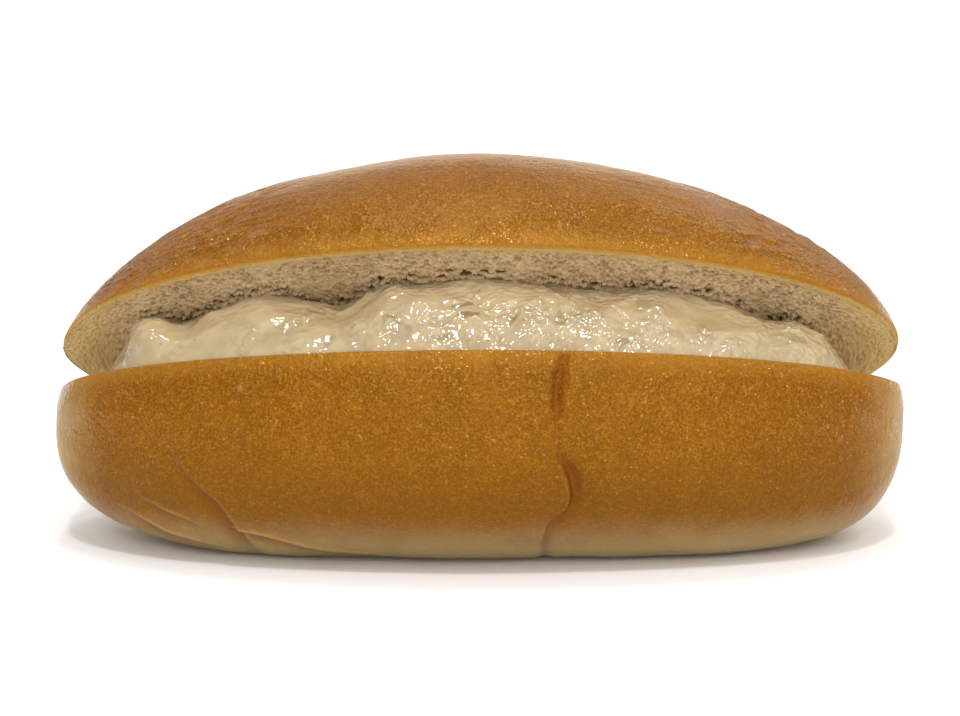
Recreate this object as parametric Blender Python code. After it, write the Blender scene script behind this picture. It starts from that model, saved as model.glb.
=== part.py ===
"""Tuna salad roll: a long soft bread roll, cut open along its front and filled with tuna salad.

Metres, +Z up. X runs along the roll, -Y is the open front, and the origin is the middle of the underside.
The roll is made the way a baker makes it: a closed loaf, flattened by its tray, sliced by a blade that stops
short of the back crust, and opened about the strip of crust that is left. The salad is a second solid.
"""

import math

import bmesh
import bpy
from mathutils import Vector, noise

# The closed loaf.
ROLL_LENGTH = 0.150
ROLL_WIDTH = 0.066
WIDEST_LEVEL = 0.023  # height of the level where the loaf is longest and widest
CROWN_RISE = 0.0365  # the crown above that level
BELLY_DROP = 0.025  # the underside below that level, before the tray flattens it
CROWN_ROUNDNESS = 2.1  # superellipse exponents of the cross-section, above and below the widest level
BELLY_ROUNDNESS = 2.5
# Exponents that round the ends. The second number is what the underside takes off, or the change along X.
WIDTH_TAPER = (0.49, 0.12)
CROWN_TAPER = (0.58, -0.03)
BELLY_TAPER = 0.36
BELLY_SQUARENESS = (5.0, 0.8)
WANDER = 0.0005  # how far the baked surface strays from the ideal form
WANDER_SCALE = 0.034

# The cut, which rises towards the front, and the lid that turns up about its hinge.
CUT_SLOPE = math.radians(24.0)
CUT_LEVEL = 0.0266  # height of the cut over the middle of the base
HINGE_BACK = 0.028  # the cut stops this far behind the middle
OPENING = math.radians(17.3)
LID_DROOP = 0.03  # share by which the lid opens less at its ends
BEND_START = math.radians(100.0)  # the crust behind the hinge bends between these angles round the hinge
BEND_END = math.radians(240.0)
BLADE_THICKNESS = 0.0003
BLADE_REACH = 0.100

# The crease down the front of the lower half: (height, place along the roll), from the rim to the base.
CREASE_PATH = (
    (0.0410, 0.0144),
    (0.0360, 0.0130),
    (0.0240, 0.0129),
    (0.0200, 0.0136),
    (0.0170, 0.0154),
    (0.0125, 0.0158),
    (0.0090, 0.0120),
    (0.0060, 0.0107),
    (0.0000, 0.0107),
)
CREASE_DEPTH = 0.0013
CREASE_STEEP_SIDE = 0.0007  # width of its left flank, and of its right one
CREASE_GENTLE_SIDE = 0.0018
CREASE_OFFSETS = (-0.0035, -0.0016, -0.0008, 0.0, 0.0009, 0.0019, 0.0038)  # rings that follow it
CREASE_PULL = 0.009  # rings further off than this run straight
CORE_SHARE = 0.8  # creases sink towards a core line this much shorter than the roll
TRAY_MARGIN = 0.00001  # lower than this the crust lies on the tray and keeps its height

# The slanting fold low on the left: (height, place along the roll).
FOLD_TOP = (0.0197, -0.0543)
FOLD_FOOT = (0.0030, -0.0390)
FOLD_DEPTH = 0.0007
FOLD_WIDTH = 0.0016

# The salad in the wedge between the cut faces.
SALAD_HALF_LENGTH = 0.0655
SALAD_GAP = 0.0004  # clearance to each cut face, measured from the blade's middle plane
SALAD_BACK = 0.004  # how near it comes to the hinge
SALAD_SET_BACK = 0.0015  # how far its foot lies behind the lower rim
SALAD_END_ROUNDING = 0.010
SALAD_BULGE = 1.7  # how slowly its face falls back from the foot
SALAD_END_HEIGHT = 0.55  # depth of its first and last section, as a share of the wedge there
LUMP_SIZES = ((0.0018, 0.0085), (0.0008, 0.0038))  # height and spread of its lumps, and of the flakes in them
LUMP_FADE = 0.12  # the lumps are full this far up the face and die out at the lid
LUMP_CLIMB = 0.016  # height of the face, as the lumps see it
# How far behind the lid's rim the salad meets the lid: (place along the roll, distance).
SALAD_TOP_EDGE = (
    (-0.0655, 0.0200),
    (-0.0588, 0.0105),
    (-0.0520, 0.0162),
    (-0.0382, 0.0108),
    (-0.0255, 0.0190),
    (-0.0150, 0.0118),
    (0.0010, 0.0108),
    (0.0193, 0.0134),
    (0.0350, 0.0112),
    (0.0430, 0.0128),
    (0.0500, 0.0182),
    (0.0550, 0.0148),
    (0.0610, 0.0178),
    (0.0655, 0.0200),
)

# Mesh density.
STATIONS = 50
RING_POINTS = 48
SALAD_STATIONS = 64
SALAD_FACE_POINTS = 12
SALAD_SIDE_POINTS = 4
BISECTIONS = 40  # halvings that find where the cut meets the crust


def between(points, key):
    """The value at key of a smooth curve through (key, value) points."""
    ordered = sorted(points)
    if key <= ordered[0][0]:
        return ordered[0][1]
    for (low, first), (high, second) in zip(ordered, ordered[1:]):
        if key <= high:
            share = smooth((key - low) / (high - low))
            return first + (second - first) * share
    return ordered[-1][1]


def smooth(share):
    """0 to 1 with level ends."""
    share = min(max(share, 0.0), 1.0)
    return share * share * (3.0 - 2.0 * share)


def signed_power(value, exponent):
    """A power that keeps its value's sign."""
    return math.copysign(abs(value) ** exponent, value)


def loaf_point(station, angle):
    """A point of the smooth closed loaf. The station runs from -1 to 1, and the angle starts at the back."""
    reach, rise = math.cos(angle), math.sin(angle)
    taper = max(1.0 - station * station, 0.0)
    width = ROLL_WIDTH / 2 * taper ** (WIDTH_TAPER[0] - WIDTH_TAPER[1] * max(-rise, 0.0))
    if rise >= 0:
        height = CROWN_RISE * taper ** (CROWN_TAPER[0] + CROWN_TAPER[1] * station)
        roundness = CROWN_ROUNDNESS
    else:
        level = abs(station) ** (BELLY_SQUARENESS[0] + BELLY_SQUARENESS[1] * station)
        height = BELLY_DROP * max(1.0 - level, 0.0) ** BELLY_TAPER
        roundness = BELLY_ROUNDNESS
    y = width * signed_power(reach, 2.0 / roundness)
    z = WIDEST_LEVEL + height * signed_power(rise, 2.0 / roundness)
    return Vector((ROLL_LENGTH / 2 * station, y, z))


def towards_core(point):
    """The direction from a point of the crust into the loaf."""
    core = Vector((point.x * CORE_SHARE, 0.0, WIDEST_LEVEL))
    return (core - point).normalized()


def crease_depth(point):
    """How deep the crease is at a point of the crust."""
    aside = point.x - between(CREASE_PATH, point.z)
    flank = CREASE_STEEP_SIDE if aside < 0 else CREASE_GENTLE_SIDE
    return CREASE_DEPTH * math.exp(-((aside / flank) ** 2))


def fold_depth(point):
    """How deep the slanting fold is at a point of the crust."""
    top, foot = Vector((FOLD_TOP[1], FOLD_TOP[0])), Vector((FOLD_FOOT[1], FOLD_FOOT[0]))
    here, run = Vector((point.x, point.z)), foot - top
    share = (here - top).dot(run) / run.length_squared
    nearest = top + run * min(max(share, 0.0), 1.0)
    return FOLD_DEPTH * math.exp(-(((here - nearest).length / FOLD_WIDTH) ** 2))


def crust_point(station, angle):
    """A point of the baked crust. The rings near the crease follow it down the front."""
    point = loaf_point(station, angle)
    pull = point.x - CREASE_PATH[1][1]
    if point.y < 0 and point.z < CREASE_PATH[0][0] and abs(pull) < CREASE_PULL:
        follow = smooth(1.0 - abs(pull) / CREASE_PULL)
        shifted = point.x + follow * (between(CREASE_PATH, point.z) - CREASE_PATH[1][1])
        point = loaf_point(2.0 * shifted / ROLL_LENGTH, angle)
    return point + towards_core(point) * WANDER * noise.noise(point / WANDER_SCALE)


def station_places():
    """Places of the rings along the loaf, closer together at the ends and at the crease."""
    even = [math.sin(math.pi * (step / STATIONS - 0.5)) for step in range(1, STATIONS)]
    crease = [2.0 * (CREASE_PATH[1][1] + offset) / ROLL_LENGTH for offset in CREASE_OFFSETS]
    clear = 0.4 * (crease[1] - crease[0]) + (crease[-1] - crease[0]) / 2
    middle = (crease[0] + crease[-1]) / 2
    return sorted([place for place in even if abs(place - middle) > clear] + crease)


def new_object(name, mesh_maker, material):
    """An object whose mesh is what mesh_maker leaves in a bmesh."""
    shape = bmesh.new()
    mesh_maker(shape)
    bmesh.ops.recalc_face_normals(shape, faces=shape.faces)
    mesh = bpy.data.meshes.new(name)
    shape.to_mesh(mesh)
    shape.free()
    made = bpy.data.objects.new(name, mesh)
    bpy.context.scene.collection.objects.link(made)
    mesh.materials.append(material)
    return made


def bridge_rings(shape, rings, first_end, last_end):
    """Faces between neighbouring rings, and fans from the two end points."""
    count = len(rings[0])
    for ring, following in zip(rings, rings[1:]):
        for i in range(count):
            j = (i + 1) % count
            shape.faces.new((ring[i], ring[j], following[j], following[i]))
    for i in range(count):
        j = (i + 1) % count
        shape.faces.new((first_end, rings[0][j], rings[0][i]))
        shape.faces.new((last_end, rings[-1][i], rings[-1][j]))


def closed_loaf(shape):
    """The whole loaf, with its underside pressed flat by the tray."""
    turns = [2.0 * math.pi * (i + 0.5) / RING_POINTS for i in range(RING_POINTS)]
    rings = [[shape.verts.new(crust_point(place, turn)) for turn in turns] for place in station_places()]
    ends = [shape.verts.new(loaf_point(side, 0.0)) for side in (-1.0, 1.0)]
    bridge_rings(shape, rings, *ends)
    everything = shape.verts[:] + shape.edges[:] + shape.faces[:]
    tray = bmesh.ops.bisect_plane(
        shape, geom=everything, dist=1e-6, plane_co=(0, 0, 0), plane_no=(0, 0, -1), clear_outer=True
    )
    rim = [edge for edge in tray["geom_cut"] if isinstance(edge, bmesh.types.BMEdge)]
    bmesh.ops.contextual_create(shape, geom=rim)


def hinge():
    """The hinge line's place, as a point with x 0, with the direction of the cut and the way up from it."""
    forward = Vector((0.0, -math.cos(CUT_SLOPE), math.sin(CUT_SLOPE)))
    up = Vector((0.0, math.sin(CUT_SLOPE), math.cos(CUT_SLOPE)))
    place = Vector((0.0, HINGE_BACK, CUT_LEVEL - HINGE_BACK * math.tan(CUT_SLOPE)))
    return place, forward, up


def from_hinge(x, distance, turn):
    """The point at a distance from the hinge, turned up from the lower cut face."""
    place, forward, up = hinge()
    return place + Vector((x, 0, 0)) + distance * (math.cos(turn) * forward + math.sin(turn) * up)


def slice_loaf(loaf):
    """Cuts the loaf from the front to the hinge with a thin blade."""
    place, forward, _ = hinge()
    bpy.ops.mesh.primitive_cube_add(size=1.0, location=place + forward * BLADE_REACH / 2)
    blade = bpy.context.object
    blade.rotation_euler = (-CUT_SLOPE, 0.0, 0.0)
    blade.scale = (2 * BLADE_REACH, BLADE_REACH, BLADE_THICKNESS)
    blade.display_type = "WIRE"
    blade.hide_render = True
    cut = loaf.modifiers.new("cut", "BOOLEAN")
    cut.operation = "DIFFERENCE"
    cut.object = blade
    evaluated = loaf.evaluated_get(bpy.context.evaluated_depsgraph_get())
    sliced = bpy.data.meshes.new_from_object(evaluated)
    loaf.modifiers.clear()
    loaf.data = sliced
    bpy.data.objects.remove(blade)


def press_creases(loaf):
    """Sinks the crease and the fold into the front of the lower half, as far up as the cut."""
    place, _, up = hinge()
    for vertex in loaf.data.vertices:
        if vertex.co.y < 0 and (vertex.co - place).dot(up) < 0:
            depth = crease_depth(vertex.co) + fold_depth(vertex.co)
            sunk = vertex.co + towards_core(vertex.co) * depth
            if vertex.co.z < TRAY_MARGIN:
                sunk.z = vertex.co.z
            vertex.co = sunk


def lid_share(x):
    """How far the lid opens at a place along the roll, as a share of the opening in its middle."""
    return 1.0 - LID_DROOP * (2.0 * x / ROLL_LENGTH) ** 2


def open_lid(loaf):
    """Turns the lid up about the hinge. The crust behind the hinge bends, and the lower half stays."""
    place, forward, up = hinge()
    for vertex in loaf.data.vertices:
        arm = vertex.co - place
        along, above = arm.dot(forward), arm.dot(up)
        turn = math.atan2(above, along) % (2.0 * math.pi)
        bend = smooth((turn - BEND_START) / (BEND_END - BEND_START))
        turn += OPENING * (1.0 - bend) * lid_share(vertex.co.x)
        vertex.co = from_hinge(vertex.co.x, math.hypot(along, above), turn)


def rim_distance(x, front=True):
    """How far in front of the hinge the cut meets the front crust, or the back crust."""
    place, forward, up = hinge()
    station = 2.0 * x / ROLL_LENGTH
    above, below = math.pi / 2, (1.5 * math.pi if front else -math.pi / 2)
    for _ in range(BISECTIONS):
        middle = (above + below) / 2
        if (loaf_point(station, middle) - place).dot(up) > 0:
            above = middle
        else:
            below = middle
    return (loaf_point(station, above) - place).dot(forward)


def salad_outline(x, end):
    """A section of the salad: (distance from the hinge, share of the way from the lower half to the lid)."""
    foot = rim_distance(x) - SALAD_SET_BACK
    back = max(SALAD_BACK, rim_distance(x, front=False) + SALAD_BACK)
    foot = back + (foot - back) * (SALAD_END_HEIGHT + (1.0 - SALAD_END_HEIGHT) * end)
    lean = between(SALAD_TOP_EDGE, x) - SALAD_SET_BACK
    outline = []
    for i in range(SALAD_FACE_POINTS + 1):
        share = i / SALAD_FACE_POINTS
        distance = foot - lean * share**SALAD_BULGE
        here = Vector((x, distance, share * LUMP_CLIMB))
        lumps = sum(height * noise.noise(here / spread) for height, spread in LUMP_SIZES)
        outline.append((distance + lumps * math.sin(math.pi * min(share + LUMP_FADE, 1.0)), share))
    top, front = outline[-1][0], outline[0][0]
    steps = [i / SALAD_SIDE_POINTS for i in range(1, SALAD_SIDE_POINTS)]
    along_lid = [(top + (back - top) * step, 1.0) for step in steps]
    along_base = [(back + (front - back) * step, 0.0) for step in steps]
    return outline + along_lid + [(back, 1.0), (back, 0.0)] + along_base


def salad_ring(x):
    """The points of a section of the salad, clear of both cut faces and rounded off near the ends."""
    end = min((SALAD_HALF_LENGTH - abs(x)) / SALAD_END_ROUNDING, 1.0)
    end = math.sqrt(1.0 - (1.0 - end) ** 2)
    points = []
    for distance, share in salad_outline(x, end):
        clearance = math.asin(SALAD_GAP / distance)
        low = from_hinge(x, distance, clearance)
        high = from_hinge(x, distance, OPENING * lid_share(x) - clearance)
        points.append(low.lerp(high, share * end))
    return points


def salad_shape(shape):
    """The salad: wedge-like sections from near the hinge to a lumpy face that leans back under the lid."""
    places = [math.sin(math.pi * (i / SALAD_STATIONS - 0.5)) for i in range(1, SALAD_STATIONS)]
    rings = [[shape.verts.new(point) for point in salad_ring(SALAD_HALF_LENGTH * place)] for place in places]
    ends = []
    for ring, side in ((rings[0], -1), (rings[-1], 1)):
        middle = sum((vertex.co for vertex in ring), Vector()) / len(ring)
        ends.append(shape.verts.new((side * SALAD_HALF_LENGTH, middle.y, middle.z)))
    bridge_rings(shape, rings, *ends)


def food_material(name, colour, roughness):
    """A material with a piece's colour and roughness."""
    material = bpy.data.materials.new(name)
    material.use_nodes = True
    shader = material.node_tree.nodes["Principled BSDF"]
    shader.inputs["Base Color"].default_value = (*colour, 1.0)
    shader.inputs["Roughness"].default_value = roughness
    shader.inputs["Metallic"].default_value = 0.0
    return material


def shade_round(made, sharp_from):
    """Shades a piece as round, but for edges sharper than an angle."""
    made.data.shade_smooth()
    made.data.set_sharp_from_angle(angle=sharp_from)


def main():
    for old in list(bpy.data.objects):
        bpy.data.objects.remove(old)
    roll = new_object("bread_roll", closed_loaf, food_material("baked_crust", (0.38, 0.15, 0.02), 0.45))
    slice_loaf(roll)
    press_creases(roll)
    open_lid(roll)
    shade_round(roll, math.radians(40))
    salad = new_object("tuna_salad", salad_shape, food_material("tuna_salad", (0.66, 0.56, 0.38), 0.2))
    shade_round(salad, math.radians(60))


main()
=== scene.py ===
import math

import bpy
import numpy as np
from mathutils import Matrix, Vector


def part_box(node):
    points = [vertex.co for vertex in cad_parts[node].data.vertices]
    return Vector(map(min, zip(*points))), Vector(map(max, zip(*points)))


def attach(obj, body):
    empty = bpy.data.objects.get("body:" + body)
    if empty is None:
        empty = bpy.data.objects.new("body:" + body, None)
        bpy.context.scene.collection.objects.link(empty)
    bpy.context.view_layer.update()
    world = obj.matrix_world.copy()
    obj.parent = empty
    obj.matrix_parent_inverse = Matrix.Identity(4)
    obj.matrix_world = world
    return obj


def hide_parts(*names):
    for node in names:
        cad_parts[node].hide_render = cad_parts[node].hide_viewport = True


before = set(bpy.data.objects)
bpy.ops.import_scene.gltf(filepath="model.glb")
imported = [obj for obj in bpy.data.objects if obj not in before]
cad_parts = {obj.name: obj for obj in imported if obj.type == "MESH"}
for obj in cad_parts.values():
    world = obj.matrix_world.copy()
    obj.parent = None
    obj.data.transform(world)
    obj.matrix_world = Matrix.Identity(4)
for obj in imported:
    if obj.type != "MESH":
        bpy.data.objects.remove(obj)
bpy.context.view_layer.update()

# The closed loaf. A long soft roll of milk dough, proved and baked on a flat tray: an even round crown,
# ends that taper, a fuller underside that the tray has pressed flat, and a skin that strays a little from
# a true form.
mm = 0.001
lowest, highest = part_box("bread_roll")
roll_half = (highest.x - lowest.x) / 2
roll_width = 66 * mm
widest_level = 23 * mm
crown_rise = 36.5 * mm
belly_drop = 25 * mm
side_taper = 0.49  # how fast the sides close in at the ends: 0.5 makes an ellipse, and less a blunter end
side_fullness = 0.12  # how much blunter they are at the lowest part of the belly
crown_taper = 0.58
crown_lean = 0.03  # how much blunter the crown is at the right end
belly_taper = 0.36
belly_squareness = 5
belly_lean = 0.8
crown_roundness = 2.1  # of the section: 2 makes an ellipse, and more a squarer one
belly_roundness = 2.5
tray_rounding = 0.5 * mm
core_length = 0.8  # the line that dents sink towards, as a share of the roll's length


def power(value, exponent):
    """A power that keeps the value's sign."""
    return np.sign(value) * np.abs(value) ** exponent


def loaf(station, turn):
    """Points of the closed loaf: stations run from -1 to 1 along it, and turns start level at the back."""
    reach, rise = np.cos(turn), np.sin(turn)
    taper = np.maximum(1 - station**2, 0)
    width = roll_width / 2 * taper ** (side_taper - side_fullness * np.maximum(-rise, 0))
    crown = crown_rise * taper ** (crown_taper - crown_lean * station)
    square = 1 - np.abs(station) ** (belly_squareness + belly_lean * station)
    belly = belly_drop * np.maximum(square, 0) ** belly_taper
    roundness = np.where(rise >= 0, crown_roundness, belly_roundness)
    y = width * power(reach, 2 / roundness)
    z = widest_level + np.where(rise >= 0, crown, belly) * power(rise, 2 / roundness)
    return np.stack([roll_half * station + 0 * turn, y, z], axis=-1)


def inward(points):
    """Directions from points of the crust into the loaf."""
    core = points * (core_length, 0, 0) + (0, 0, widest_level)
    away = core - points
    return away / np.maximum(np.linalg.norm(away, axis=-1, keepdims=True), 1e-9)


def pressed_flat(points):
    """The points, with those below the tray brought up to it round a small radius."""
    z = points[..., 2]
    points[..., 2] = (z + np.sqrt(z**2 + tray_rounding**2)) / 2
    return points


# The cut and the lid. A knife goes in along the front, sloping down to the back, and stops short of the
# back crust. The lid then turns up about that strip of crust, which bends, and its ends open a little less.
cut_slope = math.radians(24)
cut_level = 26.6 * mm
hinge_back = 28 * mm
opening = math.radians(17.3)
end_opening_less = 0.03  # of the opening
bend_start, bend_end = math.radians(100), math.radians(240)  # turns about the hinge between which crust bends
seam_turn = 0.3  # where turns about the hinge start, on the far side of the cut from each half
crown_turn = math.radians(66)  # a turn of the loaf that is above the cut, but for its very ends
halvings = 40
fine_stations = 20001
forward = np.array([0, -math.cos(cut_slope), math.sin(cut_slope)])
upward = np.array([0, math.sin(cut_slope), math.cos(cut_slope)])
hinge = np.array([0, hinge_back, cut_level - hinge_back * math.tan(cut_slope)])


def smooth(value, start, end):
    """0 before start, 1 after end, and level at both."""
    share = np.clip((value - start) / (end - start), 0, 1)
    return share**2 * (3 - 2 * share)


def lid_turn(x):
    """How far the lid has turned up at a place along the roll."""
    return opening * (1 - end_opening_less * (x / roll_half) ** 2)


def from_hinge(x, distance, turn):
    """Points at a distance from the hinge, turned up from the lower cut face."""
    arm = np.cos(turn)[..., None] * forward + np.sin(turn)[..., None] * upward
    along = np.zeros_like(arm)
    along[..., 0] = x
    return hinge + along + distance[..., None] * arm


def opened(points, lid):
    """The points of the closed loaf's lid, or of its lower half, where they are once the lid is turned up."""
    arm = points - hinge
    out, up = arm @ forward, arm @ upward
    least = -seam_turn if lid else seam_turn
    turn = (np.arctan2(up, out) - least) % (2 * math.pi) + least
    bend = smooth(turn, bend_start, bend_end)
    return from_hinge(points[..., 0], np.hypot(out, up), turn + lid_turn(points[..., 0]) * (1 - bend))


def above_cut(station, turn):
    """Whether points of the closed loaf lie above the cut."""
    return (loaf(station, turn) - hinge) @ upward > 0


def cut_turn(station, side):
    """The turns at which the cut meets the crust: side is 1 for the front and -1 for the back."""
    above = np.full_like(station, crown_turn)
    below = np.full_like(station, math.pi / 2 + side * math.pi)
    for _ in range(halvings):
        middle = (above + below) / 2
        over = above_cut(station, middle)
        above, below = np.where(over, middle, above), np.where(over, below, middle)
    return above


def lid_reach():
    """The station at which the lid ends, where the cut comes out through the top of the loaf's end."""
    station = np.linspace(-1, 1, fine_stations)
    return np.abs(station[above_cut(station, np.full_like(station, crown_turn))]).max()


def rim_reach(station, side):
    """How far in front of the hinge the cut meets the front crust or the back crust."""
    return (loaf(station, cut_turn(station, side)) - hinge) @ forward


# The crust. An egg-washed skin, baked golden brown and about a millimetre thick, paler at the ends and where
# it lay on the tray, with a painted sheen over that low band too. It has shrunk into fine wrinkles on the
# shoulders, and creased, folded and blistered where the dough was shaped. Painted shade darkens its dents and
# the lower part of its front, and painted highlights lighten its lips, blisters and wrinkle crests, its fine
# golden lines and some of its pale specks; painted light brightens it near the cut.
crust_edge = 1.5 * mm  # how far the crust's own edge shows on the cut faces
edge_steps = [1.25, 0.95, 0.65, 0.4, 0.25]  # how far in each row of its points lies, in its own width
crust_columns = 480
crust_rows = 190
# Smooth waves by which the skin strays from the true form: height and width in millimetres, and seed.
strays = [(0.45, 26, 1), (0.16, 9, 2), (0.05, 3.2, 3)]
wrinkle_depth = 0.24
smooth_depth = 0.02  # what is left of the wrinkles away from the shoulders
# how strongly the crests of the wrinkles are marked for a painted highlight
wrinkle_highlight = 0.2
lip_place, lip_width = 1.7, 1.1  # of a furrow's raised lip, in widths of its steep side
# Each furrow runs through places along and up the front, in millimetres, with how wide it is there on its
# steep side and on its gentle side, and how deep.
crease = [
    (14.9, 42, 0.8, 1.0, 0.1), (14.4, 39.6, 1.0, 1.2, 0.6), (13.3, 36, 1.1, 1.3, 1.0),
    (12.7, 32, 0.9, 1.2, 0.95), (12.9, 28.5, 0.5, 0.8, 0.5), (12.9, 25.5, 0.45, 0.6, 0.35),
    (13.5, 22, 0.5, 1.0, 0.6), (15.2, 18.8, 0.7, 1.7, 1.25), (15.9, 14.8, 0.6, 1.7, 1.2),
    (14.8, 11.9, 0.4, 1.3, 0.7), (12.3, 10.0, 0.4, 1.7, 0.75), (11.2, 6, 0.5, 1.5, 0.7),
    (11, 2.4, 0.8, 1.3, 0.5), (11, -2, 1.0, 1.3, 0.4),
]
fold = [
    (-37, -1, 1.0, 2, 0.1), (-39, 2.5, 0.7, 2.2, 0.45), (-41, 5.3, 0.55, 2.4, 0.8),
    (-43.2, 9, 0.5, 2.6, 0.9), (-45.4, 12, 0.5, 2.4, 0.8), (-49.6, 15.7, 0.45, 2, 0.6),
    (-52.9, 20.4, 0.4, 1.6, 0.3), (-56, 23.5, 0.4, 1.4, 0),
]
long_low_fold = [
    (-12, 0.6, 0.45, 1.4, 0), (-26, 2.4, 0.45, 1.6, 0.6), (-33, 4.6, 0.45, 1.8, 0.8),
    (-37.5, 6, 0.45, 1.8, 0.8), (-41.5, 6.6, 0.45, 1.4, 0.5),
]
left_low_fold = [
    (-43, 1.6, 0.45, 1.4, 0), (-51.8, 3.9, 0.45, 1.8, 0.8), (-55, 5, 0.45, 1.8, 0.8),
    (-58.7, 7.1, 0.45, 1.6, 0.6), (-64, 10, 0.45, 1.2, 0),
]
short_low_fold = [
    (-45, 5.6, 0.45, 1.4, 0), (-51.4, 8.2, 0.45, 1.6, 0.5), (-54.8, 9.5, 0.45, 1.6, 0.5),
    (-60, 12.5, 0.45, 1.2, 0),
]
# The furrows of the lower half, each with how high its lip is for its depth.
furrows = [(crease, 0.1), (fold, 0.2), (long_low_fold, 0.5), (left_low_fold, 0.5), (short_low_fold, 0.5)]
# Blisters on the front of the lower half, in millimetres: place along and up the front, half width and rise.
blisters = [(-40.3, 32.5, 0.9, 0.4), (-30.1, 27, 0.6, 0.25), (39.9, 30.3, 0.7, 0.25), (61.6, 22, 0.8, 0.3)]
# Where columns of points lie closer together: place along the roll, half width and how much closer.
busy_places = [(13.5, 4, 1.6), (-48, 9, 0.8)]


def scatter(cell, seed):
    """A random number from 0 to 1 for each whole-numbered cell."""
    mixed = cell[..., 0] * 73856093 ^ cell[..., 1] * 19349663 ^ cell[..., 2] * 83492791 ^ seed * 2654435761
    mixed = (mixed ^ (mixed >> 13)) * 1274126177 & 0xFFFFFFFF
    mixed = (mixed ^ (mixed >> 16)) * 668265263 & 0xFFFFFFFF
    return ((mixed ^ (mixed >> 15)) & 0xFFFFFF) / 0x1000000


def waves(points, size, seed=0):
    """Smooth random heights from about -1 to 1, as wide as size, which may differ by direction."""
    place = points / size
    cell = np.floor(place).astype(np.int64)
    part = place - cell
    fade = part**3 * (part * (6 * part - 15) + 10)
    total = 0
    for corner in np.ndindex(2, 2, 2):
        there = cell + corner
        slope = np.stack([scatter(there, seed * 3 + i) * 2 - 1 for i in range(3)], axis=-1)
        weight = np.prod(np.where(corner, fade, 1 - fade), axis=-1)
        total = total + weight * ((part - corner) * slope).sum(axis=-1)
    return total * 1.6  # which spreads them to about 1


def sheet(name, points, **marks):
    """A mesh over a grid of points, smooth, with each mark kept as a number on its points."""
    rows, columns = points.shape[:2]
    index = np.arange(rows * columns).reshape(rows, columns)
    corners = [index[:-1, :-1], index[:-1, 1:], index[1:, 1:], index[1:, :-1]]
    mesh = bpy.data.meshes.new(name)
    mesh.from_pydata(points.reshape(-1, 3), [], np.stack(corners, axis=-1).reshape(-1, 4))
    for mark, values in marks.items():
        kept = mesh.attributes.new(mark, "FLOAT", "POINT")
        kept.data.foreach_set("value", values.astype(np.float32).ravel())
    mesh.shade_smooth()
    made = bpy.data.objects.new(name, mesh)
    bpy.context.scene.collection.objects.link(made)
    return made


def rounded(path):
    """A path with two more places between each two of its own, all on one smooth curve."""
    before, after = path[[0, *range(len(path) - 1)]], path[[*range(1, len(path)), -1]]
    here, there = path[:-1], path[1:]
    pull, push = (after[:-1] - before[:-1]) / 2, (after[1:] - before[1:]) / 2
    stops = []
    for part in (0, 0.34, 0.67):
        square, cube = part**2, part**3
        leaving = (2 * cube - 3 * square + 1) * here + (cube - 2 * square + part) * pull
        stops.append(leaving + (3 * square - 2 * cube) * there + (cube - square) * push)
    return np.concatenate([np.stack(stops, axis=1).reshape(-1, path.shape[1]), path[-1:]])


def along_path(points, path):
    """Signed distance of points from a path over the front, seen from there, and the share of it passed."""
    place = points[..., [0, 2]]
    best = np.full(place.shape[:-1], 1.0)  # a metre, which is further than any
    share = np.zeros_like(best)
    for step, (start, end) in enumerate(zip(path[:-1], path[1:])):
        run = end - start
        part = np.clip(((place - start) @ run) / (run @ run), 0, 1)
        away = place - start - part[..., None] * run
        far = np.hypot(away[..., 0], away[..., 1])
        left = np.where(away[..., 1] * run[0] - away[..., 0] * run[1] >= 0, 1, -1)
        closer = far < np.abs(best)
        best = np.where(closer, far * left, best)
        share = np.where(closer, (step + part) / (len(path) - 1), share)
    return best, share


def furrow(points, path, lip):
    """A furrow along a path, with a raised lip on its right as it runs: how deep and how high they are."""
    path = rounded(np.array(path, dtype=float))
    away, share = along_path(points, path[:, :2] * mm)
    passed = np.linspace(0, 1, len(path))
    steep, gentle, depth = (np.interp(share, passed, column) for column in path.T[2:])
    away = away / mm
    front = points[..., 1] < 0
    valley = np.exp(-((away / np.where(away < 0, steep, gentle)) ** 2)) * depth * front
    ridge = np.exp(-(((away + lip_place * steep) / (lip_width * steep)) ** 2)) * depth * lip * front
    return valley, ridge


def crust_relief(points, lid):
    """How deep the crust lies below the true form at points of it, and how far in a dent or on a lip."""
    x, z = points[..., 0], points[..., 2]
    stray = sum(height * waves(points, size * mm, seed) for height, size, seed in strays)
    bent = points + 2 * mm * waves(points, 14 * mm, 5)[..., None]
    shoulder = smooth(np.abs(x + 2 * mm), 14 * mm, 42 * mm) * smooth(z, 28 * mm, 38 * mm)
    shoulder = shoulder * (1 if lid else 0.3)
    wrinkles = waves(bent, np.array([12, 1.5, 1.5]) * mm, 6)
    wrinkles = wrinkles + 0.6 * waves(bent, np.array([6, 0.9, 0.9]) * mm, 7)
    patch = smooth(waves(points, 17 * mm, 8), -0.3, 0.3)
    depth = stray + (smooth_depth + wrinkle_depth * shoulder * patch) * wrinkles
    dent, lip = 0 * depth, wrinkle_highlight * smooth(-wrinkles, 0.0, 0.8) * shoulder * (0.3 + 0.7 * patch)
    if not lid:
        for path, path_lip in furrows:
            valley, ridge = furrow(points, path, path_lip)
            depth = depth + valley - ridge
            dent, lip = np.maximum(dent, valley), np.maximum(lip, ridge)
        for along, level, wide, rise in blisters:
            away = np.hypot(x / mm - along, z / mm - level) / wide
            swell = rise * (1 - smooth(away, 0.3, 1.1)) * (points[..., 1] < 0)
            # the tops of the blisters join the lips, for a painted highlight
            depth, lip = depth - swell, np.maximum(lip, 0.7 * swell)
    return depth * mm, dent, lip


def placed(count, reach):
    """Places from end to end, closer together at the ends and at the crease and the fold."""
    even = np.linspace(-1, 1, 4001)
    along = even * roll_half / mm
    density = 1 + 6 * even**40
    for place, wide, closer in busy_places:
        density = density + closer * np.exp(-(((along - place) / wide) ** 2))
    passed = np.concatenate([[0], np.cumsum(density[1:] + density[:-1])])
    return reach * np.interp(np.linspace(0, passed[-1], count), passed, even)


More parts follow.
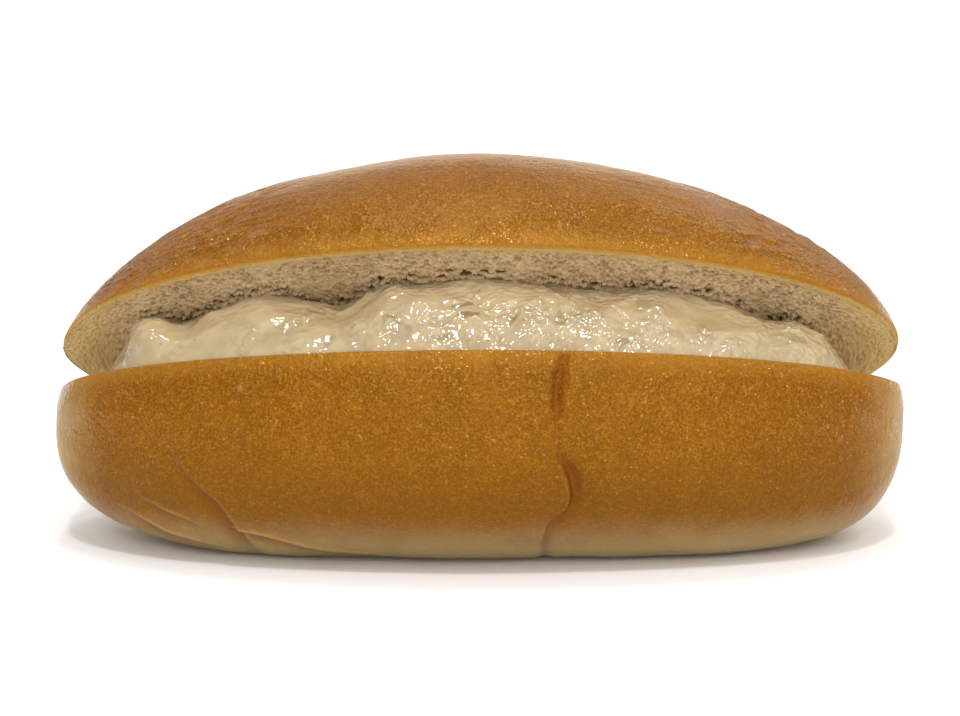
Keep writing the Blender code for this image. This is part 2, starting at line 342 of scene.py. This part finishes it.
def crust_sheet(name, lid):
    """One half of the crust, from its own edge on the front of the cut face round to the back."""
    station = placed(crust_columns, lid_reach() if lid else 1.0)
    front, back = cut_turn(station, 1), cut_turn(station, -1)
    if not lid:
        back = back + 2 * math.pi
    share = np.linspace(0.007, 1, crust_rows)[:, None]
    rim_line = loaf(station, front)
    skin = loaf(station, front + (back - front) * (0.55 * share + 0.45 * share**3))
    rim = np.linalg.norm(np.diff(skin, axis=0), axis=-1).cumsum(axis=0)
    rim = np.concatenate([0 * rim[:1], rim])
    depth, dent, lip = crust_relief(skin, lid)
    skin = skin + inward(skin) * depth[..., None]
    width = np.minimum(crust_edge, 0.2 * np.abs(skin[0, :, 1] - skin[-1, :, 1]))
    steps = np.array(edge_steps)[:, None]
    edge = rim_line - forward * (steps * width)[..., None]
    none = 0 * edge[..., 0]
    points = np.concatenate([edge, skin])
    marks = {
        "rim": np.concatenate([none, rim]) / mm,
        "edge": np.concatenate([none + smooth(steps, 0, 1.1), 0 * rim]),
        "dent": np.concatenate([none, dent]),
        "lip": np.concatenate([none, lip]),
        "end": np.abs(points[..., 0]) / roll_half,
        "level": points[..., 2] / mm,
    }
    points = opened(pressed_flat(points.copy()), lid)
    if not lid:
        points, marks = points[::-1], {mark: values[::-1] for mark, values in marks.items()}
    return sheet(name, points, **marks)


class Shade:
    """A number, colour or direction in a material's nodes, so that shader maths reads as plain sums."""

    def __init__(self, tree, socket=None):
        self.tree = tree
        self.socket = socket

    def node(self, kind, settings=(), sockets=(), out=0):
        """A new node: its settings first, then its sockets' values or links, by name or by number."""
        made = self.tree.nodes.new(kind)
        for name, value in dict(settings).items():
            setattr(made, name, value)
        for name, value in dict(sockets).items():
            if isinstance(value, Shade):
                self.tree.links.new(value.socket, made.inputs[name])
            else:
                made.inputs[name].default_value = value
        return Shade(self.tree, made.outputs[out])

    def maths(self, operation, first, second):
        """What a Math node makes of two numbers by one of its operations."""
        return self.node("ShaderNodeMath", {"operation": operation}, {0: first, 1: second})

    def __add__(self, other):
        return self.maths("ADD", self, other)

    def __sub__(self, other):
        return self.maths("SUBTRACT", self, other)

    def __rsub__(self, other):
        return self.maths("SUBTRACT", other, self)

    def __mul__(self, other):
        return self.maths("MULTIPLY", self, other)

    __radd__ = __add__

    def past(self, start, end):
        """0 before start, 1 after end, and smooth between them."""
        span = {0: self, 1: start, 2: end, 3: 0.0, 4: 1.0}
        return self.node("ShaderNodeMapRange", {"interpolation_type": "SMOOTHSTEP"}, span)

    def mark(self, name):
        """A number kept on the piece's points."""
        return self.node("ShaderNodeAttribute", {"attribute_name": name}, out=2)

    def place(self, seed):
        """Where a point lies in the piece, moved aside by its seed so that no two patterns fall together."""
        spot = self.node("ShaderNodeTexCoord", out="Object")
        aside = (0.031 * seed, 0.047 * seed, 0.013 * seed)
        return self.node("ShaderNodeVectorMath", {"operation": "ADD"}, {0: spot, 1: aside})

    def mottle(self, size, seed=0, detail=2.0, roughness=0.5):
        """Soft random patches of one size, from 0 to 1."""
        sockets = {"Vector": self.place(seed), "Scale": 1 / size, "Detail": detail, "Roughness": roughness}
        return self.node("ShaderNodeTexNoise", {}, sockets)

    def threads(self, size, seed=0, width=0.06):
        """Fine winding lines, 1 along them and 0 away from them."""
        level = self.mottle(size, seed, detail=1.0) - 0.5
        return 1 - (level * level).past(width**2 * 0.2, width**2)

    def dots(self, size, seed=0):
        """Distance to the nearest of scattered dots, in their own size."""
        sockets = {"Vector": self.place(seed), "Scale": 1 / size}
        return self.node("ShaderNodeTexVoronoi", {}, sockets, out="Distance")

    def blend(self, colour, other):
        """From one colour to the other as this share goes from 0 to 1."""
        return self.node("ShaderNodeMix", {"data_type": "RGBA"}, {0: self, 6: colour, 7: other}, out=2)


def finish(name, describe, **steady):
    """A material: describe gives what changes over its surface, and steady what is the same all over it."""
    material = bpy.data.materials.new(name)
    material.use_nodes = True
    tree = material.node_tree
    surface = tree.nodes["Principled BSDF"]
    start = Shade(tree)
    colour, roughness, relief = describe(start)
    bump = start.node("ShaderNodeBump", {}, {"Strength": 1.0, "Distance": mm, "Height": relief})
    for socket, value in (("Base Color", colour), ("Roughness", roughness), ("Normal", bump)):
        tree.links.new(value.socket, surface.inputs[socket])
    for socket, value in steady.items():
        surface.inputs[socket.replace("_", " ")].default_value = value
    return material


golden = (0.218, 0.072, 0.001, 1)
deep_golden = (0.175, 0.055, 0.001, 1)
grain_light = (0.33, 0.125, 0.005, 1)
grain_dark = (0.13, 0.032, 0.001, 1)
thread_painted_glint = (0.5, 0.24, 0.035, 1)
speck_pale_and_glint = (0.62, 0.34, 0.09, 1)
dot_brown = (0.13, 0.035, 0.001, 1)
low_painted_shade = (0.135, 0.046, 0.001, 1)
dent_painted_shade = (0.16, 0.035, 0.001, 1)
tray_pale_and_sheen = (0.4, 0.3, 0.13, 1)
tip_pale = (0.46, 0.29, 0.1, 1)
lip_painted_highlight = (0.46, 0.25, 0.085, 1)
near_cut_tan_and_light = (0.42, 0.18, 0.02, 1)
edge_amber = (0.5, 0.26, 0.04, 1)
edge_tan = (0.54, 0.36, 0.14, 1)
crust_tint = (1, 0.7, 0.2, 1)  # of what the egg wash mirrors


def baked_crust(start):
    """Golden brown with fine speckles, painted glints in its fine lines and some specks, painted shade in the
    dents and low on the front, painted highlights on the lips, paler at the ends, paler with a painted sheen
    at the tray line, paler with painted light by the cut, and tan on its edge.
    """
    broad = start.mottle(24 * mm, 1)
    patches = start.mottle(5 * mm, 2)
    grain = start.mottle(0.42 * mm, 3, detail=1.0, roughness=0.6)
    colour = (broad * 0.6 + patches * 0.4).past(0.36, 0.64).blend(golden, deep_golden)
    colour = (grain.past(0.5, 0.72) * 0.75).blend(colour, grain_light)
    colour = ((1 - grain.past(0.3, 0.5)) * 0.6).blend(colour, grain_dark)
    # fine golden lines: painted glints that stand in for the sparkle of the egg wash
    threads = start.threads(0.7 * mm, 4, 0.045) * start.mottle(1.1 * mm, 16).past(0.45, 0.6)
    colour = (threads * 0.3).blend(colour, thread_painted_glint)
    # pale specks: partly the crust's own small bubbles, partly painted glints
    specks = (1 - start.dots(1.5 * mm, 5).past(0.09, 0.18)) * start.mottle(4 * mm, 6).past(0.38, 0.55)
    colour = (specks * 0.4).blend(colour, speck_pale_and_glint)
    dark_dots = 1 - start.dots(2.4 * mm, 7).past(0.06, 0.14)
    colour = (dark_dots * 0.4).blend(colour, dot_brown)
    uneven = (patches - 0.5) * 0.25
    level = start.mark("level")
    # painted shade: the front darker towards its lower part, where less light falls from above
    low = level.past(2.0, 6.0) * (1 - level.past(12.0, 26.0))
    colour = (low * 0.5).blend(colour, low_painted_shade)
    tip = (start.mark("end") + uneven * 0.4).past(0.86, 1.02)
    # the band where it lay on the tray: paler crust, and a painted sheen of the white table over it
    tray = 1 - (level * 0.08 + uneven).past(-0.1, 0.95)
    colour = (tray * 0.85).blend(colour, tray_pale_and_sheen)
    colour = (tip * 0.65).blend(colour, tip_pale)
    rim = start.mark("rim")
    # paler near the cut: partly the crust's own tone there, partly painted light on its rounded rim
    near_cut = 1 - rim.past(0.0, 4.0)
    colour = (near_cut * 0.35).blend(colour, near_cut_tan_and_light)
    # painted shade in the dents of the crease and the folds
    colour = (start.mark("dent").past(0.1, 1.1) * 0.8).blend(colour, dent_painted_shade)
    # painted highlight on the raised lips, the blisters and the wrinkle crests
    colour = (start.mark("lip").past(0.05, 0.35) * 0.5).blend(colour, lip_painted_highlight)
    edge = start.mark("edge")
    colour = edge.past(0.02, 0.3).blend(colour, edge_amber)
    colour = (edge + uneven).past(0.4, 1.1).blend(colour, edge_tan)
    shine = start.mottle(8 * mm, 11, detail=1.0).past(0.42, 0.55) * (1 - rim.past(6.0, 14.0))
    roughness = 0.27 + grain * 0.08 - shine * 0.25
    pimples = (1 - start.dots(7 * mm, 8).past(0.05, 0.13)) * 0.12
    relief = start.mottle(0.42 * mm, 9, detail=0.0) * (0.1 + shine * 0.06) + pimples
    relief = relief + start.mottle(1.1 * mm, 10, detail=0.0) * (0.1 + shine * 0.06)
    relief = relief + start.mottle(0.65 * mm, 17, detail=0.0) * shine * 0.2
    return colour, roughness, relief


lid_crust = crust_sheet("lid_crust", True)
base_crust = crust_sheet("base_crust", False)
crust_finish = finish("baked_crust", baked_crust, Specular_IOR_Level=0.45, Specular_Tint=crust_tint)
for piece in (lid_crust, base_crust):
    piece.data.materials.append(crust_finish)
    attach(piece, "root")
    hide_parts("bread_roll")

# The crumb. Soft white-bread foam that the knife has laid open on both faces of the cut: fine bubbles with
# thin walls, tight and smooth beside the crust, and torn into larger holes where the filling has dragged
# at the lid. Painted shade darkens its bubbles and torn holes, and painted light brightens it deep in the
# slit and at its tips.
crumb_columns, crumb_rows = 800, 115
base_crumb_columns, base_crumb_rows = 320, 60
just_inside = 0.9999  # keeps the first and last column of a piece short of a single point
crumb_hang = 1.6 * mm  # how far the soft crumb of the lid sags onto the filling
pore_depth = 1 * mm
hole_depth = 1.9 * mm
sway_depth = 0.3 * mm
contact_share = 0.86  # where the filling meets the lid, as a share of how far back its top edge lies
contact_forward = 0.6 * mm  # and how far in front of that
torn_forward = 0.4 * mm  # the row of torn holes, in front of where the filling meets the lid
torn_width = 1.3 * mm
# The top edge of the filling, in millimetres: place along the roll, and how far behind the rim it lies.
salad_edge = [
    (-65.5, 20), (-58.8, 10.5), (-52, 16.2), (-38.2, 10.8), (-25.5, 19), (-15, 11.8), (1, 10.8), (19.3, 13.4),
    (35, 11.2), (43, 12.8), (50, 18.2), (55, 14.8), (61, 17.8), (65.5, 20),
]


def cells(points, size, seed=0):
    """Distance to the nearest and next nearest of points, one to a cell, and the nearest one's own number."""
    place = points / size
    cell = np.floor(place).astype(np.int64)
    near = np.full(place.shape[:-1], 9.0)  # further than any
    after, own = near.copy(), near.copy()
    for step in np.ndindex(3, 3, 3):
        there = cell + step - 1
        centre = there + np.stack([scatter(there, seed * 5 + i) for i in range(3)], axis=-1)
        away = np.linalg.norm(place - centre, axis=-1)
        closer = away < near
        after = np.where(closer, near, np.minimum(after, away))
        own = np.where(closer, scatter(there, seed * 5 + 4), own)
        near = np.where(closer, away, near)
    return near, after, own


def between(pairs, x):
    """The value at x of a smooth curve through pairs of place and value, in millimetres."""
    places, values = np.array(pairs).T * mm
    low = np.clip(np.searchsorted(places, x) - 1, 0, len(places) - 2)
    return values[low] + (values[low + 1] - values[low]) * smooth(x, places[low], places[low + 1])


def bubbles(points, size, seed):
    """How far the bubbles of one size are open: 0 on their walls and up to 1 in the deepest."""
    near, after, own = cells(points, size, seed)
    return smooth(after - near, 0.0, 0.28) * (0.2 + 0.8 * own)


def crumb_sheet(name, columns, rows, lid):
    """A cut face of the crumb, from just under the crust's edge at the front back to the hinge."""
    station = np.linspace(-1, 1, columns) * lid_reach() * just_inside
    x = station * roll_half
    rim, back = rim_reach(station, 1), rim_reach(station, -1)
    far = rim - np.minimum(crust_edge * 0.7, 0.15 * (rim - back))
    near = np.minimum(np.maximum(back, 0.3 * mm), far)
    share = np.linspace(0, 1, rows)[:, None]
    distance = far - (far - near) * (0.3 * share + 0.7 * share**6)
    behind = rim - distance
    flat = np.stack([x + 0 * distance, distance, 0 * distance], axis=-1)
    contact = contact_share * between(salad_edge, x) - contact_forward
    free_edge = smooth(distance - back, 0.0, 2.5 * mm)
    tip = smooth(np.abs(station), 0.76, 0.92)
    opens = smooth(behind + 0.6 * mm * waves(flat, 5 * mm, 41), 0.9 * mm, 2.8 * mm)
    open_crumb = opens * free_edge * (1 - 0.45 * tip)
    pores = 0.5 * bubbles(flat, 1.0 * mm, 42) + 0.3 * bubbles(flat, 0.6 * mm, 43)
    pores = pores + 0.08 * waves(flat, 0.45 * mm, 47)
    sway = waves(flat, 8 * mm, 46) * smooth(behind, 0, 3 * mm) * free_edge
    if lid:
        torn = np.exp(-(((behind - contact + torn_forward) / torn_width) ** 2))
        torn = torn * (1 - smooth(np.abs(station), 0.7, 0.84))
        patch = smooth(waves(flat, 5 * mm, 45), -0.3, 0.3)
        large = smooth(bubbles(flat, np.array([2.0, 1.5, 1.5]) * mm, 44), 0.15, 0.4)
        holes = torn * large * (0.35 + 0.65 * patch)
        hang = crumb_hang * smooth(behind, 0.1 * contact, 1.1 * contact) * (1 - tip) * free_edge
        turn = lid_turn(x) + 0 * distance
        depth = open_crumb * pores * pore_depth + holes * hole_depth + sway * sway_depth - hang
    else:
        holes = turn = 0 * distance
        depth = -(open_crumb * pores * pore_depth + sway * sway_depth)
    into = -np.sin(turn)[..., None] * forward + np.cos(turn)[..., None] * upward
    points = from_hinge(x + 0 * distance, distance, turn) + into * depth[..., None]
    marks = {
        "open": open_crumb * pores / 0.55,
        "hole": holes,
        "deep": smooth(behind, 0.4 * contact, contact),
        "behind": behind / mm,
        "end": np.abs(flat[..., 0]) / roll_half,
    }
    if lid:
        points, marks = points[::-1], {mark: values[::-1] for mark, values in marks.items()}
    return sheet(name, points, **marks)


cream = (0.52, 0.375, 0.205, 1)
deep_cream = (0.46, 0.32, 0.17, 1)
wall_cream = (0.6, 0.445, 0.255, 1)
deep_painted_light = (0.66, 0.5, 0.3, 1)
bubble_painted_shade = (0.27, 0.17, 0.075, 1)
grain_brown = (0.36, 0.24, 0.11, 1)
hole_painted_shade = (0.15, 0.072, 0.02, 1)
beside_tan = (0.52, 0.36, 0.14, 1)
tip_tan_and_light = (0.62, 0.44, 0.17, 1)


def soft_crumb(start):
    """Cream with brown grain, tan beside the crust, tan with painted light at the tips, painted shade in the
    bubbles and the torn holes, and painted light deep in the slit.
    """
    grain = start.mottle(0.6 * mm, 11, detail=3.0, roughness=0.6)
    opened_up = start.mark("open")
    colour = start.mottle(6 * mm, 12).past(0.35, 0.65).blend(cream, deep_cream)
    colour = (1 - opened_up.past(0.0, 0.3)).blend(colour, wall_cream)
    # painted shade inside the open bubbles
    colour = (opened_up.past(0.3, 1.0) * 0.75).blend(colour, bubble_painted_shade)
    colour = (grain.past(0.5, 0.75) * 0.35).blend(colour, grain_brown)
    # painted light on the crumb deep in the slit, where shade falls
    colour = (start.mark("deep") * 0.25).blend(colour, deep_painted_light)
    beside = 1 - (start.mark("behind") + start.mottle(3 * mm, 13) * 1.4).past(2.4, 5.0)
    colour = (beside * 0.75).blend(colour, beside_tan)
    # the tips: tan crumb near the crust, and painted light where they lie in shade
    tip = (start.mark("end") + start.mottle(6 * mm, 15) * 0.1).past(0.84, 1.0)
    colour = (tip * 0.675).blend(colour, tip_tan_and_light)
    # painted shade in the torn holes
    colour = start.mark("hole").past(0.2, 0.45).blend(colour, hole_painted_shade)
    return colour, 0.75 + grain * 0.15, grain * 0.2 + start.mottle(0.32 * mm, 14) * 0.08


lid_crumb = crumb_sheet("lid_crumb", crumb_columns, crumb_rows, True)
base_crumb = crumb_sheet("base_crumb", base_crumb_columns, base_crumb_rows, False)
crumb_finish = finish("soft_crumb", soft_crumb, Specular_IOR_Level=0.15)
for piece in (lid_crumb, base_crumb):
    piece.data.materials.append(crumb_finish)
    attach(piece, "root")
    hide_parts("bread_roll")

# The filling. Flaked tuna stirred into mayonnaise and spooned into the slit: a wet, glossy face of soft lumps
# that leans back under the lid, calm where the mayonnaise lies thick and rippled where flakes stand close
# below it.
salad_half = 65.5 * mm
salad_set_back = 1.2 * mm
salad_back = 4 * mm
salad_rounding = 10 * mm
salad_sunk = 0.6 * mm  # how far its low edge presses into the crumb
salad_lean = 1.9  # how its face leans back: 1 is straight, and more is steep below and flat above
face_height = 11.0  # about how high its face is, in millimetres
salad_columns = 700
salad_rows = 128
salad_top_rows = 8
# Heights of its relief, in millimetres.
flake_height = 0.3
shred_height = 0.2
strand_height = 0.32
thread_height = 0.18
ripple_height = 0.02
bare_depth = 0.15
# How rippled its face is, from 0 to 1, at places along the roll in millimetres.
rippled = [
    (-66, 0.7), (-57, 0.55), (-50, 0.1), (-36, 0.12), (-30, 0.75), (-22, 0.35), (-14, 0.95), (28, 1.0),
    (36, 0.75), (47, 0.65), (53, 0.95), (66, 0.8),
]
# Where the spoon has left more of it, or less: place along the roll, share of the way up the face, half
# width, half height and rise.
spoonfuls = [
    (-56.3, 0.5, 3.6, 0.34, 1.9), (-50.5, 0.4, 1.6, 0.4, -0.2), (-36.8, 0.45, 4.0, 0.3, 0.6),
    (-11.7, 0.5, 5.0, 0.33, 1.3), (-24.0, 0.45, 3.0, 0.5, -0.7), (12.0, 0.5, 4.5, 0.3, 0.9),
    (2.5, 0.4, 2.4, 0.4, -0.6), (26.0, 0.5, 4.0, 0.3, 0.7), (38.0, 0.4, 4.0, 0.4, -0.4),
    (53.0, 0.4, 4.0, 0.35, 0.9),
]
# Bare flakes and thin places: place along the roll, share of the way up, half length, half height, tilt in
# degrees and strength.
bare = [
    (-2.6, 0.50, 2.3, 0.4, 12, 0.8), (-1.9, 0.37, 2.0, 0.6, 6, 0.95), (-13.5, 0.27, 2.8, 0.5, -22, 0.5),
    (-6.4, 0.12, 1.9, 0.5, 0, 0.6), (5.4, 0.30, 1.3, 0.5, 35, 0.7), (-25.5, 0.12, 1.7, 0.7, 45, 0.5),
    (-62.0, 0.30, 1.6, 2.6, 70, 0.55), (27.5, 0.55, 3.0, 0.9, 10, 0.45), (13.5, 0.33, 1.5, 0.9, 20, 0.55),
    (25.0, 0.12, 2.8, 0.4, 3, 0.6), (54.5, 0.30, 2.2, 0.8, -15, 0.5), (-19.5, 0.62, 2.4, 0.7, 15, 0.35),
    (40.0, 0.35, 2.6, 0.5, -8, 0.3), (-44.0, 0.35, 2.2, 0.5, 12, 0.2), (19.0, 0.72, 2.4, 0.7, -10, 0.35),
    (-33.0, 0.55, 1.8, 0.6, 30, 0.3), (8.5, 0.78, 2.2, 0.5, 0, 0.3),
]


def dome(points, size, seed):
    """Rounded lumps that meet in creases: 1 on top of a lump and 0 in a crease."""
    near, after, own = cells(points, size, seed)
    return smooth(after - near, -0.35, 0.8) * (0.45 + 0.55 * own)


def salad_face(x, end, back):
    """The true form of the face, with how far up it each row of points is and how far along each column."""
    foot = rim_reach(x / roll_half, 1) - salad_set_back
    foot = back + (foot - back) * (0.75 + 0.25 * end)
    lean = between(salad_edge, x) - salad_set_back
    share = np.linspace(-0.03, 1.05, salad_rows)[:, None]
    distance = foot - lean * np.maximum(share, 0) ** salad_lean
    along = x + 0 * distance
    low = from_hinge(along, distance, 0 * distance)
    high = from_hinge(along, distance, lid_turn(along))
    return low + (high - low) * (share * end)[..., None], share, along


def crests(points, size, seed, half_width):
    """Thin winding crests: 1 along them and 0 away from them."""
    return np.exp(-((waves(points, size, seed) / half_width) ** 2))


def salad_relief(face, share, along):
    """How far the face of the salad rises from its true form, with marks for its material."""
    ripples = between(rippled, along[0]) / mm + 0.9 * waves(face, 7 * mm, 61)
    rough = np.clip(ripples, 0, 1) * (1 - smooth(share, 0.88, 1.04))
    flakes = dome(face, np.array([4.6, 2.8, 2.8]) * mm, 62)
    lumps = 0.9 * waves(face, 9 * mm, 63) + 0.45 * waves(face, 4.5 * mm, 64)
    bulge = 0
    for place, level, wide, tall, rise in spoonfuls:
        bulge = bulge + rise * np.exp(-(((along / mm - place) / wide) ** 2) - ((share - level) / tall) ** 2)
    swirl = face + 1.5 * mm * waves(face, 4 * mm, 65)[..., None]
    shreds = np.sqrt(waves(swirl, np.array([3.4, 1.8, 1.8]) * mm, 66) ** 2 + 0.02)
    strands = crests(swirl, 3.6 * mm, 70, 0.12) * smooth(waves(face, 4 * mm, 71), -0.1, 0.3)
    threads = crests(swirl, 2.2 * mm, 72, 0.16) * smooth(waves(face, 3 * mm, 73), -0.2, 0.2)
    flaky = flake_height * flakes + shred_height * shreds + strand_height * strands + thread_height * threads
    height = lumps + bulge + rough * flaky + ripple_height * waves(swirl, 1.3 * mm, 67)
    ragged = 0.5 * waves(face, 1.6 * mm, 68) + 0.25 * waves(face, 0.7 * mm, 69)
    thin = 0 * along
    for place, level, half, tall, tilt, strength in bare:
        lean, aside = math.radians(tilt), along / mm - place
        up = (share - level) * face_height
        length = (aside * math.cos(lean) + up * math.sin(lean)) / half
        breadth = (up * math.cos(lean) - aside * math.sin(lean)) / tall
        inside = 1 - smooth(np.hypot(length, breadth) + ragged, 0.3, 1.35)
        thin = np.maximum(thin, inside * strength)
        height = height - bare_depth * inside * strength
    high = smooth(share, 0.35, 0.95) + 0 * thin
    return height, {"bare": thin, "rough": rough, "flake": flakes * rough, "high": high}


def salad_sheet(name):
    """The whole body of salad: its face in detail, its top, and plain sides that the two cut faces hide."""
    even = np.linspace(-1, 1, salad_columns)
    x = salad_half * (0.8 * even + 0.2 * np.sin(math.pi / 2 * even)) * just_inside
    end = np.sqrt(1 - (1 - np.minimum((salad_half - np.abs(x)) / salad_rounding, 1)) ** 2)
    back = np.maximum(rim_reach(x / roll_half, -1), 0) + salad_back
    face, share, along = salad_face(x, end, back)
    outward = np.cross(np.gradient(face, axis=1), np.gradient(face, axis=0))
    outward = outward / np.maximum(np.linalg.norm(outward, axis=-1, keepdims=True), 1e-12)
    height, marks = salad_relief(face, share, along)
    hold = 0.35 + 0.65 * np.sin(math.pi * np.clip(share * 0.9 + 0.08, 0, 1))
    end_hold = 0.4 + 0.6 * end
    face = face + outward * (height * hold * end_hold * mm)[..., None]
    face[0] = face[0] - upward * salad_sunk
    behind_low = from_hinge(x, back, 0 * x)[None]
    behind_high = from_hinge(x, back, lid_turn(x))[None]
    behind_high = behind_low + (behind_high - behind_low) * end[None, :, None]
    passed = np.linspace(0, 1, salad_top_rows + 2)[1:-1, None]
    top = face[-1] + (behind_high - face[-1]) * passed[..., None]
    sag = 0.5 * (1 + waves(top, 3 * mm, 74)) + 0.3 * waves(top, 1.4 * mm, 75)
    top = top - upward * (sag * np.minimum(3 * passed, 1) * end_hold * mm)[..., None]
    points = np.concatenate([behind_low, face, top, behind_high, behind_low])
    none = 0 * x[None]
    beyond = none + 0.5 * np.minimum(2 * passed, 1)
    for mark, values in marks.items():
        above = 0 * beyond if mark == "bare" else np.maximum(beyond, values[-1])
        marks[mark] = np.concatenate([none, values, above, none + 0.5, none])
    return sheet(name, points, **marks)


mayonnaise = (0.46, 0.35, 0.19, 1)
deep_mayonnaise = (0.38, 0.28, 0.145, 1)
streak_olive = (0.31, 0.24, 0.12, 1)
flake_top_painted_highlight = (0.5, 0.385, 0.215, 1)
high_painted_light = (0.65, 0.515, 0.315, 1)
bare_olive = (0.23, 0.17, 0.08, 1)
speck_brown = (0.24, 0.16, 0.07, 1)


def wet_salad(start):
    """Cream with grey-olive flakes that show through the mayonnaise, a painted highlight on the tops of its
    flaky lumps, and painted light on its upper face.
    """
    clouds = start.mottle(5 * mm, 21, detail=3.0)
    streaks = start.mottle(1.6 * mm, 22, detail=3.0, roughness=0.6)
    rough = start.mark("rough")
    colour = clouds.past(0.34, 0.66).blend(mayonnaise, deep_mayonnaise)
    colour = (streaks.past(0.5, 0.72) * rough * 0.6).blend(colour, streak_olive)
    # painted highlight on the tops of the flaky lumps
    colour = (start.mark("flake").past(0.35, 0.9) * 0.35).blend(colour, flake_top_painted_highlight)
    # painted light on the upper face, where the lid casts shade
    colour = (start.mark("high") * 0.8).blend(colour, high_painted_light)
    colour = (start.mark("bare").past(0.05, 0.85) * 0.9).blend(colour, bare_olive)
    specks = 1 - start.dots(4.2 * mm, 23).past(0.04, 0.09)
    colour = (specks * 0.6).blend(colour, speck_brown)
    roughness = 0.05 + clouds * 0.06
    relief = start.mottle(1.3 * mm, 24, detail=0.0) * (rough * 0.3 + 0.04)
    return colour, roughness, relief


salad = salad_sheet("salad")
salad_finish = finish(
    "wet_salad", wet_salad, Specular_IOR_Level=0.9, Subsurface_Weight=0.35,
    Subsurface_Radius=(0.003, 0.002, 0.001), Subsurface_Scale=1.0)
salad.data.materials.append(salad_finish)
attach(salad, "root")
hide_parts("tuna_salad")

# The studio. A wide plain white table under pale walls, lit by a broad panel high in front, a low fill and a
# warm light from the right. Small lamps give the wet face and the crust their glints, and lamps behind give
# the shoulders of the roll their sheen.
table_size = 8.0
wall_brightness = 0.55
bpy.ops.mesh.primitive_plane_add(size=table_size)
table = bpy.context.object
table.name = "table"
white = bpy.data.materials.new("white_table")
white.use_nodes = True
white_surface = white.node_tree.nodes["Principled BSDF"]
white_surface.inputs["Base Color"].default_value = (0.95, 0.95, 0.95, 1)
white_surface.inputs["Roughness"].default_value = 0.8
table.data.materials.append(white)

world = bpy.data.worlds.new("studio")
bpy.context.scene.world = world
world.use_nodes = True
walls = world.node_tree.nodes["Background"]
walls.inputs["Color"].default_value = (1, 1, 1, 1)
walls.inputs["Strength"].default_value = wall_brightness


def lamp(name, elevation, sideways, spread, strength, colour=(1, 1, 1)):
    """A far lamp, so many degrees up from the front, round to the right and across. Over 90 it is behind."""
    light = bpy.data.lights.new(name, "SUN")
    light.energy = strength
    light.angle = math.radians(spread)
    light.color = colour
    made = bpy.data.objects.new(name, light)
    made.rotation_euler = (math.radians(90 - elevation), 0, math.radians(sideways))
    bpy.context.scene.collection.objects.link(made)


lamp("panel", 50, 0, 90, 0.76)
lamp("fill", 15, 12, 50, 0.56)
lamp("high_glint", 97, 10, 7, 0.35)
lamp("front_glint", 67, -3, 5.5, 0.8)
lamp("low_glint", 33, -8, 5, 0.22)
lamp("right_glint", 58, 48, 4, 0.14)
lamp("back_light", 167, 0, 25, 0.2, (1, 0.85, 0.65))
lamp("right_light", 42, 62, 45, 0.4, (1, 0.93, 0.8))
lamp("right_shoulder", 140, -33, 40, 0.35, (1, 0.9, 0.7))
lamp("left_shoulder", 140, 33, 40, 0.15, (1, 0.92, 0.8))

camera_distance = 0.56
camera_centre = 0.03  # the height that it circles about
camera_elevation = math.radians(12)
camera_level = math.radians(90.2155)  # level, and a touch up, which brings the roll below the middle
lens = bpy.data.cameras.new("camera")
lens.sensor_width = 36
lens.lens = 118.65
camera = bpy.data.objects.new("camera", lens)
camera.location = (
    0,
    -camera_distance * math.cos(camera_elevation),
    camera_centre + camera_distance * math.sin(camera_elevation),
)
camera.rotation_euler = (camera_level - camera_elevation, 0, 0)
bpy.context.scene.collection.objects.link(camera)
bpy.context.scene.camera = camera
bpy.context.scene.view_settings.view_transform = "Standard"
